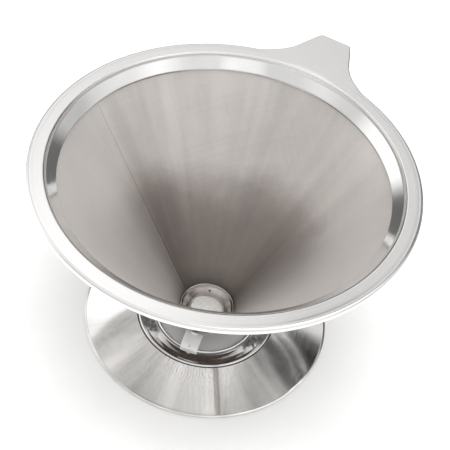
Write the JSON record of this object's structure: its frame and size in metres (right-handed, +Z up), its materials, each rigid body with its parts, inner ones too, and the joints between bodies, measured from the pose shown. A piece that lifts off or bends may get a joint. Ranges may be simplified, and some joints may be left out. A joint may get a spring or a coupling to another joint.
{
  "type": "pour over coffee dripper",
  "caption": "Stainless steel pour over coffee dripper: a reusable double-walled filter cone with a flat rim and handle tab, welded by arms to a flared brushed stand.",
  "frame": {"origin": "on the cone's axis, in the plane that the stand rests on", "axes": "+Z up along the cone's axis, +Y towards the handle tab, +X to the right when looking along +Y"},
  "size_m": [0.125, 0.1424, 0.0756],
  "materials": {
    "satin_steel": "satin, near white",
    "polished_steel": "mirror polished",
    "woven_mesh": "fine woven wire cloth, warm grey",
    "mesh_seam_weld": "rolled lap seam",
    "perforated_steel": "perforated sheet, semi-bright",
    "support_seam_weld": "flattened weld",
    "clamp_steel": "polished",
    "cup_steel": "bright spun",
    "disc_steel": "finely turned face",
    "ferrule_steel": "polished",
    "neck_steel": "mirror polished",
    "lip_steel": "mirror polished",
    "brushed_steel": "circular brushing",
    "arm_steel": "half-bright strip",
    "weld_steel": "bright weld"
  },
  "bodies": {
    "root": {"rim_plate": "satin_steel", "filter_collar": "polished_steel", "mesh_cone": "woven_mesh", "mesh_seam": "mesh_seam_weld", "support_cone": "perforated_steel", "support_seam": "support_seam_weld", "clamp_ring": "clamp_steel", "bottom_cup": "cup_steel", "cup_disc": "disc_steel", "tip_ferrule": "ferrule_steel", "neck_ring": "neck_steel", "neck_lip": "lip_steel", "base_brim": "brushed_steel", "arm_front": "arm_steel", "arm_right": "arm_steel", "arm_left": "arm_steel", "arm_front_cup_weld": "weld_steel", "arm_front_lip_weld": "weld_steel", "arm_right_cup_weld": "weld_steel", "arm_right_lip_weld": "weld_steel", "arm_left_cup_weld": "weld_steel", "arm_left_lip_weld": "weld_steel"}
  },
  "joints": []
}
